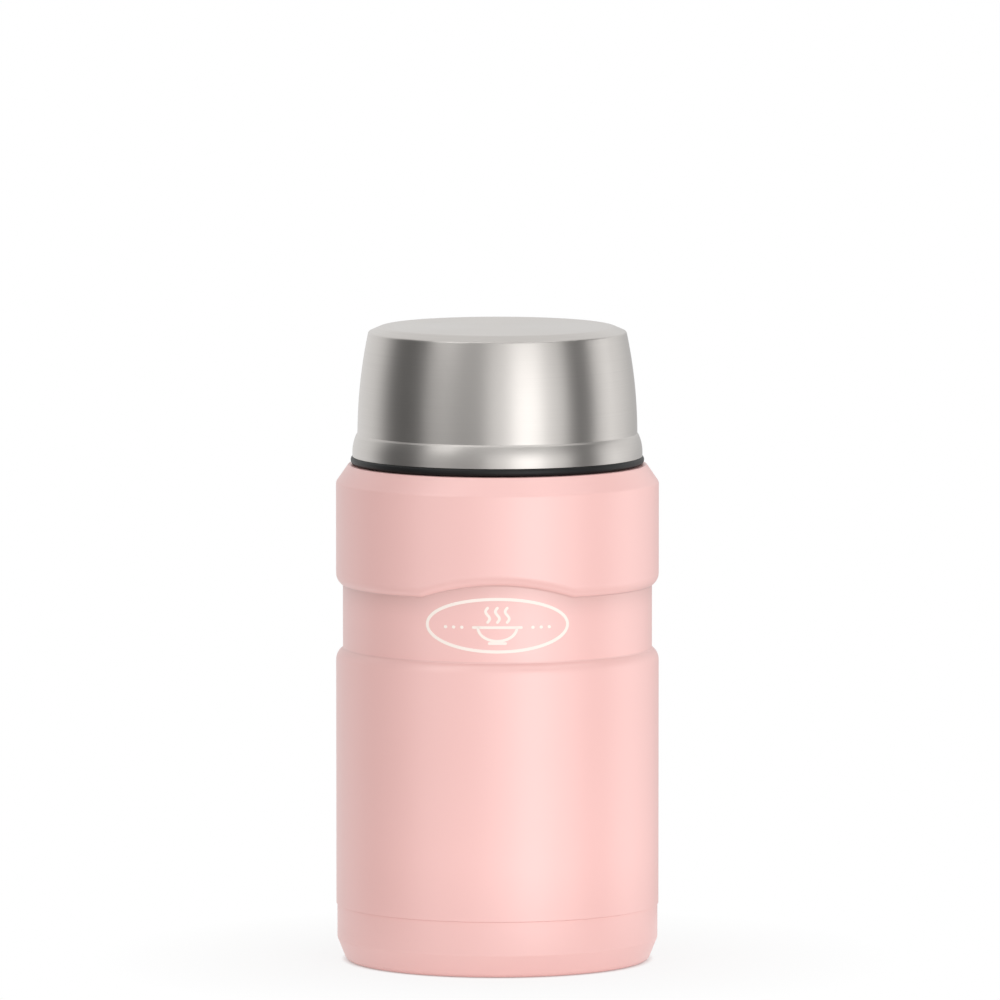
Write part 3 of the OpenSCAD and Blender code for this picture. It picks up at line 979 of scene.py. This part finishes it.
def makeRing():
    size = nodeSize("bowl_thread_ring")
    outer = bowl["rimRadius"] + ring["lip"]
    inset = ring["sleeveInset"]
    shelf = bowlSize["bottom"] - bowl["rimDrop"]
    low, edge = size["bottom"], ring["cornerEdge"]
    ledge = size["top"] - ring["ledgeHeight"]
    outline = [
        (ring["bore"], low, edge),
        *roundNose(outer, low, shelf, ring["edgeDepth"]),
        (bowl["rimRadius"] - inset, shelf),
        *bowlBulge(inset),
        *bowlSide(inset, creaseZ, size["top"], 4),
        (bowl["linerMouth"], size["top"]),
        (bowl["linerMouth"], ledge, edge),
        (ring["bore"], ledge),
    ]
    piece = turned("threadRing", rounded(outline), segments=320)
    dress(piece, plastic, "bowl", ["bowl_thread_ring"])
    dress(threadRidges("ringThread", ring["bore"], -1), plastic, "bowl")
    gasketSize = nodeSize("bowl_gasket")
    outer, low, high = gasketSize["radius"], gasketSize["bottom"], gasketSize["top"]
    inner = outer - ring["gasketWidth"]
    gasket = [(inner, low, edge), (outer, low, edge), (outer, high, edge), (inner, high, edge)]
    dress(turned("bowlGasket", rounded(gasket)), silicone, "bowl_seal", ["bowl_gasket"])


makeRing()
print("thread ring made")

# the hidden pieces keep their own meshes and only get a finish
innerFinishes = {
    "outer_bottom": bare,
    "vacuum_seal": sealGlass,
    "getter_pellet": getterPowder,
    "getter_clip": bare,
    "reflective_foil": foil,
    "stopper_foam": foam,
    "bowl_gap_seal": silicone,
}
for nodeName, finish in innerFinishes.items():
    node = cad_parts[nodeName]
    node.data.materials.clear()
    node.data.materials.append(finish)
print("inner pieces finished")

# printed emblem: a steaming bowl in a plain oval, with dots beside it, measured from its centre
emblem = {
    "halfWidth": 22.3,
    "halfHeight": 8.1,
    "line": 0.98,
    "fineLine": 0.85,
    "centreZ": 108.9,
    "thickness": 0.05,
    "sink": 0.02,
    "capAngles": (85, 65, 45, 22),  # degrees round a line's end where it has points
    "bowlHalfWidth": 6,
    "bowlDepth": 4.2,
    "rimHalfWidth": 7.4,
    "rimHeight": -0.6,
    "footHalfWidth": 2.5,
    "footHeight": -5.5,
    "steam": (-3, 0, 3),
    "steamBottom": 1,
    "steamTop": 5.4,
    "steamSway": 0.62,
    "dots": (11, 13.6, 16.2),
    "dotHalf": 0.05,           # half of the straight part between a dot's round ends
    "sharpAngle": 30,
}


def ellipsePath(halfWidth, halfHeight, fromAngle, toAngle, z=0, steps=72):
    points = []
    for i in range(steps + 1):
        angle = math.radians(fromAngle + (toAngle - fromAngle) * i / steps)
        points.append((halfWidth * math.cos(angle), z + halfHeight * math.sin(angle)))
    return points


def levelPath(x, z, halfWidth, steps):
    return [(x - halfWidth + 2 * halfWidth * i / steps, z) for i in range(steps + 1)]


def steamPath(x, bottom, top, steps=28):
    points = []
    for i in range(steps + 1):
        share = i / steps
        sway = emblem["steamSway"] * math.sin(2 * math.pi * share)
        points.append((x + sway, bottom + (top - bottom) * share))
    return points


# The rows of points that round a line's end off, from the tip inwards
def endCap(point, along, sign, width):
    rails = []
    for angle in emblem["capAngles"]:
        out, half = (width / 2 * f(math.radians(angle)) for f in (math.sin, math.cos))
        rails.append((point + along * sign * out, along, half))
    return rails


# Lays a printed line on the band, with rounded ends unless it is a closed loop
def printLine(verts, faces, path, width, closed=False):
    radius = shellSize["radius"] - shell["bandDepth"]
    low, high = radius - emblem["sink"], radius + emblem["thickness"]
    if closed:
        path = path[:-1]
    rails = []
    count = len(path)
    for i, (x, z) in enumerate(path):
        before = path[i - 1] if closed or i else path[0]
        after = path[(i + 1) % count] if closed or i < count - 1 else path[-1]
        along = Vector((after[0] - before[0], after[1] - before[1])).normalized()
        rails.append((Vector((x, z)), along, width / 2))
    if not closed:
        tail = endCap(*rails[-1][:2], 1, width)
        rails = endCap(*rails[0][:2], -1, width) + rails + tail[::-1]
    first = len(verts)
    for point, along, half in rails:
        side = Vector((-along.y, along.x)) * half
        left, right = point - side, point + side
        for r, place in ((low, left), (high, left), (high, right), (low, right)):
            angle = place.x / radius - math.pi / 2
            verts.append(wallPoint(r, angle, emblem["centreZ"] + place.y))
    count = len(rails)
    for i in range(count if closed else count - 1):
        a, b = first + 4 * i, first + 4 * ((i + 1) % count)
        for k in range(4):
            faces.append([a + k, a + (k + 1) % 4, b + (k + 1) % 4, b + k])
    if not closed:
        last = first + 4 * (count - 1)
        faces.append([first + 3, first + 2, first + 1, first])
        faces.append([last, last + 1, last + 2, last + 3])


def makeEmblem():
    verts, faces = [], []
    line, fine = emblem["line"], emblem["fineLine"]
    rim, foot = emblem["rimHeight"], emblem["footHeight"]
    oval = ellipsePath(emblem["halfWidth"], emblem["halfHeight"], 0, 360)
    bowlSides = ellipsePath(emblem["bowlHalfWidth"], emblem["bowlDepth"], 180, 360, z=rim, steps=36)
    printLine(verts, faces, oval, line, closed=True)
    printLine(verts, faces, bowlSides, fine)
    printLine(verts, faces, levelPath(0, rim, emblem["rimHalfWidth"], 24), fine)
    printLine(verts, faces, levelPath(0, foot, emblem["footHalfWidth"], 8), fine)
    for x in emblem["steam"]:
        printLine(verts, faces, steamPath(x, emblem["steamBottom"], emblem["steamTop"]), fine)
    for side in (-1, 1):
        for x in emblem["dots"]:
            printLine(verts, faces, levelPath(side * x, rim, emblem["dotHalf"], 1), line)
    piece = finishMesh("emblemPrint", verts, faces, emblem["sharpAngle"])
    dress(piece, printInk, "jar")


makeEmblem()
print("emblem printed")

studio = {
    "floorRadius": 0.13,      # small, so that it only catches the jar's own shadow
    "floorDrop": 0.0001,      # a hair below the foot, so that the two faces don't coincide
    "floorColour": 0.92,
    "floorRoughness": 0.9,
    "floorGlow": 0.16,        # share of plain white in what the floor sends back to the coat
    "shadowShare": 0.15,      # how much of the floor's own shading the camera sees by the jar
    "shadowReach": (0.055, 0.125),
    "contactShare": 0.8,      # the same right at the foot, where the jar stands on the floor
    "contactReach": (0.0462, 0.0486),
    "steelFront": 0.11,       # what steel mirrors of the dark side, where the camera stands
    "steelBack": 0.98,        # and of the white backdrop behind the jar
    "coatFront": 0.46,        # soft light on the coat and plastic, from the camera's side
    "coatBack": 0.53,         # and from the white backdrop behind the jar
    "backdropEdge": (0.1, 0.6),
    "skyLight": 0.25,         # more of the same from above
    "tableLight": 0.15,       # and from below
}
# Soft boxes round the jar, aimed at its middle. Azimuth 0 is the front, and 90 is the right side.
levelBox = {"elevation": 0, "height": 2.6}
highBox = {"elevation": 38, "width": 1.2, "height": 1.4}
softBoxes = {
    "key": levelBox | {"azimuth": 25, "width": 1.33, "brightness": 2.26},
    "keyLeft": levelBox | {"azimuth": 1.5, "width": 1.2, "brightness": 1.08},
    "keyRight": levelBox | {"azimuth": 49, "width": 1.2, "brightness": 1.08},
    "fillNear": levelBox | {"azimuth": -25, "width": 1.33, "brightness": 0.37},
    "fillLeft": levelBox | {"azimuth": -50, "width": 1.33, "brightness": 0.56},
    "sideRight": levelBox | {"azimuth": 100, "width": 1.33, "brightness": 1},
    "aboveKey": {"azimuth": 25, "elevation": 38, "width": 1.8, "height": 1.4, "brightness": 0.35},
}
# boxes that only show as reflections, such as the lines on the lid, and shed no light
glossBoxes = {
    "highLeft": highBox | {"azimuth": -50, "brightness": 1.6},
    "highNearLeft": highBox | {"azimuth": -25, "brightness": 0.4},
    "highMiddle": highBox | {"azimuth": 0, "brightness": 0.5},
    "highNearRight": highBox | {"azimuth": 25, "brightness": 0.65},
    "highRight": highBox | {"azimuth": 50, "brightness": 0.3},
    "upperLeft": {"azimuth": -75, "elevation": 58, "width": 2, "height": 1.1, "brightness": 0.8},
    "upperMiddle": {"azimuth": 0, "elevation": 68, "width": 2.4, "height": 1, "brightness": 1.1},
    "upperRight": {"azimuth": 75, "elevation": 58, "width": 2, "height": 1.1, "brightness": 0.95},
    "overhead": {"azimuth": 0, "elevation": 90, "width": 3.4, "height": 2.6, "brightness": 0.6},
    "besideCard": levelBox | {"azimuth": 118, "width": 0.7, "brightness": 0.17},
}
# grey card behind the jar on its right, which only steel mirrors: it darkens the lid's right edge
greyCard = {"azimuth": 160, "elevation": -15, "fullWithin": 10, "goneBeyond": 35, "shade": 0.6}
boxDistance = 3
aimHeight = 0.1


def towards(azimuth, elevation):
    around, above = math.radians(azimuth), math.radians(elevation)
    return Vector((
        math.sin(around) * math.cos(above),
        -math.cos(around) * math.cos(above),
        math.sin(above),
    ))


# 1 for rays of these kinds, and 0 for all others
def rayMask(nodes, links, kinds):
    rays = nodes.new("ShaderNodeLightPath")
    total = rays.outputs[kinds[0]]
    for kind in kinds[1:]:
        total = addMath(nodes, links, "MAXIMUM", total, rays.outputs[kind])
    return total


def makeFloor():
    mesh = bpy.data.meshes.new("studioFloor")
    bm = bmesh.new()
    bmesh.ops.create_circle(bm, cap_ends=True, radius=studio["floorRadius"], segments=128)
    bm.to_mesh(mesh)
    bm.free()
    floor = newPiece("studioFloor", mesh)
    floor.location.z = -studio["floorDrop"]
    material, nodes, links, shader = newMaterial("paleFloor")
    colour = studio["floorColour"]
    shader.inputs["Base Color"].default_value = (colour, colour, colour, 1)
    shader.inputs["Roughness"].default_value = studio["floorRoughness"]
    shader.inputs["Specular IOR Level"].default_value = 0
    share = rayMask(nodes, links, ("Is Camera Ray", "Is Glossy Ray", "Is Transmission Ray"))
    fromJar = addVectorMath(nodes, links, "LENGTH", objectPlace(nodes))
    for shading, reach in (("shadowShare", "shadowReach"), ("contactShare", "contactReach")):
        white = addRange(nodes, links, fromJar, 1 - studio[shading], 1, *studio[reach])
        share = addMath(nodes, links, "MULTIPLY", share, white)
    share = addMath(nodes, links, "MAXIMUM", share, studio["floorGlow"])
    glow = nodes.new("ShaderNodeEmission")
    mixed = nodes.new("ShaderNodeMixShader")
    links.new(share, mixed.inputs["Fac"])
    links.new(shader.outputs[0], mixed.inputs[1])
    links.new(glow.outputs[0], mixed.inputs[2])
    links.new(mixed.outputs[0], nodes["Material Output"].inputs["Surface"])
    mesh.materials.append(material)


# The strength in steel, less where the grey card hangs
def addCard(nodes, links, direction, strength):
    middle = towards(greyCard["azimuth"], greyCard["elevation"])
    nearness = addVectorMath(nodes, links, "DOT_PRODUCT", direction, middle)
    outer, inner = (math.cos(math.radians(greyCard[edge])) for edge in ("goneBeyond", "fullWithin"))
    card = addRange(nodes, links, nearness, 1, greyCard["shade"], outer, inner)
    return addMath(nodes, links, "MULTIPLY", strength, card)


# One strength in front and another behind, with a soft edge between the two
def addBackdrop(nodes, links, depth, front, back):
    strength = addRange(nodes, links, depth, front, back, *studio["backdropEdge"])
    strength.node.interpolation_type = "SMOOTHSTEP"
    return strength


# Another strength for the rays of these kinds
def addSight(nodes, links, kinds, strength, seen):
    chosen = nodes.new("ShaderNodeMix")
    links.new(rayMask(nodes, links, kinds), chosen.inputs["Factor"])
    links.new(strength, chosen.inputs["A"])
    feed(links, seen, chosen.inputs["B"])
    return chosen.outputs["Result"]


def makeSurround():
    world = bpy.data.worlds.new("studioWorld")
    bpy.context.scene.world = world
    world.use_nodes = True
    nodes, links = world.node_tree.nodes, world.node_tree.links
    background = nodes["Background"]
    direction = nodes.new("ShaderNodeTexCoord").outputs["Generated"]
    split = nodes.new("ShaderNodeSeparateXYZ")
    links.new(direction, split.inputs[0])
    depth = split.outputs["Y"]
    strength = addBackdrop(nodes, links, depth, studio["coatFront"], studio["coatBack"])
    for name, fullAt in (("skyLight", 1), ("tableLight", -1)):
        soft = addRange(nodes, links, split.outputs["Z"], 0, studio[name], 0, fullAt)
        strength = addMath(nodes, links, "ADD", strength, soft)
    inMetal = addBackdrop(nodes, links, depth, studio["steelFront"], studio["steelBack"])
    inMetal = addCard(nodes, links, direction, inMetal)
    strength = addSight(nodes, links, ("Is Glossy Ray", "Is Transmission Ray"), strength, inMetal)
    strength = addSight(nodes, links, ("Is Camera Ray",), strength, 1)
    links.new(strength, background.inputs["Strength"])
    background.inputs["Color"].default_value = (1, 1, 1, 1)


# A box's brightness is the radiance of its face, where 1 is white.
def makeSoftBox(name, box, shedsLight):
    data = bpy.data.lights.new(name, "AREA")
    data.shape = "RECTANGLE"
    data.size = box["width"]
    data.size_y = box["height"]
    data.energy = box["brightness"] * math.pi * box["width"] * box["height"]
    lamp = bpy.data.objects.new(name, data)
    aim = Vector((0, 0, aimHeight))
    lamp.location = towards(box["azimuth"], box["elevation"]) * boxDistance + aim
    lamp.rotation_mode = "QUATERNION"
    lamp.rotation_quaternion = (aim - lamp.location).to_track_quat("-Z", "Y")
    lamp.visible_camera = False
    lamp.visible_diffuse = shedsLight
    bpy.context.collection.objects.link(lamp)


makeFloor()
makeSurround()
for name, box in (softBoxes | glossBoxes).items():
    makeSoftBox(name, box, name in softBoxes)
bpy.context.scene.view_settings.view_transform = "Standard"
print("studio lit")
